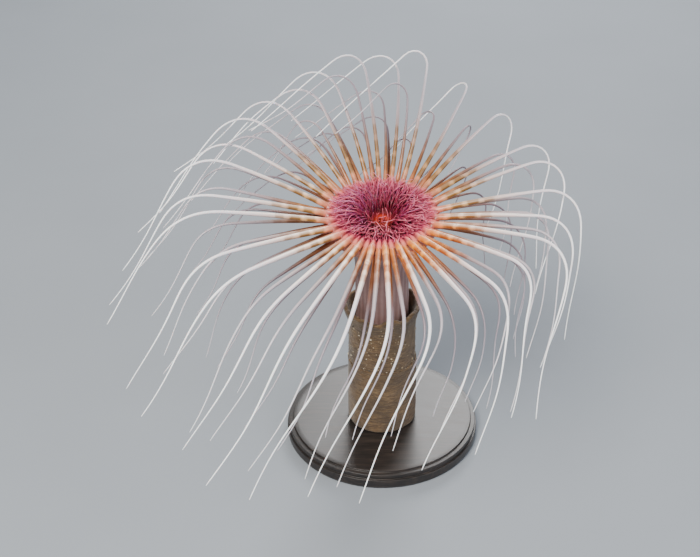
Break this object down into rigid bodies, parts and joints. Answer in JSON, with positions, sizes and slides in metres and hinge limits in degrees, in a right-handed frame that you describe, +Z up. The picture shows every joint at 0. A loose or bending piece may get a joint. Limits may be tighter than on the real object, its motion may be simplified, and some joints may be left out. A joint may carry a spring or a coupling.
{
  "type": "tube-dwelling sea anemone model",
  "caption": "Life-size still model of a tube-dwelling sea anemone with its tentacle crown spread and trailing to one side, on a flat display base.",
  "frame": {"origin": "middle of the display base's underside, on the floor", "axes": "+Z up along the animal's tube; -Y is the front, which the crown leans towards; +X is the viewer's right, away from which the tentacles trail"},
  "size_m": [0.2327, 0.2172, 0.2],
  "materials": {
    "tentacle_flesh": "satin",
    "labial_flesh": "satin",
    "disc_flesh": "satin",
    "mouth_flesh": "satin",
    "column_flesh": "satin",
    "tube_felt": "matte",
    "stand_wood": "satin"
  },
  "bodies": {
    "root": {"stand_base": "stand_wood", "tube_lower": "tube_felt", "tube_upper": "tube_felt", "column_foot": "column_flesh", "column_middle": "column_flesh", "column_upper": "column_flesh", "column_crown": "column_flesh", "oral_disc": "disc_flesh", "mouth": "mouth_flesh", "labial_tentacles": "labial_flesh", "marginal_tentacles_01": "tentacle_flesh", "marginal_tentacles_02": "tentacle_flesh", "marginal_tentacles_03": "tentacle_flesh", "marginal_tentacles_04": "tentacle_flesh", "marginal_tentacles_05": "tentacle_flesh", "marginal_tentacles_06": "tentacle_flesh", "marginal_tentacles_07": "tentacle_flesh", "marginal_tentacles_08": "tentacle_flesh", "marginal_tentacles_09": "tentacle_flesh", "marginal_tentacles_10": "tentacle_flesh", "marginal_tentacles_11": "tentacle_flesh", "marginal_tentacles_12": "tentacle_flesh", "marginal_tentacles_13": "tentacle_flesh", "marginal_tentacles_14": "tentacle_flesh", "marginal_tentacles_15": "tentacle_flesh", "marginal_tentacles_16": "tentacle_flesh", "marginal_tentacles_17": "tentacle_flesh", "marginal_tentacles_18": "tentacle_flesh", "marginal_tentacles_19": "tentacle_flesh", "marginal_tentacles_20": "tentacle_flesh", "marginal_tentacles_21": "tentacle_flesh", "marginal_tentacles_22": "tentacle_flesh", "marginal_tentacles_23": "tentacle_flesh", "marginal_tentacles_24": "tentacle_flesh", "marginal_tentacles_25": "tentacle_flesh", "marginal_tentacles_26": "tentacle_flesh", "marginal_tentacles_27": "tentacle_flesh", "marginal_tentacles_28": "tentacle_flesh"}
  },
  "joints": []
}
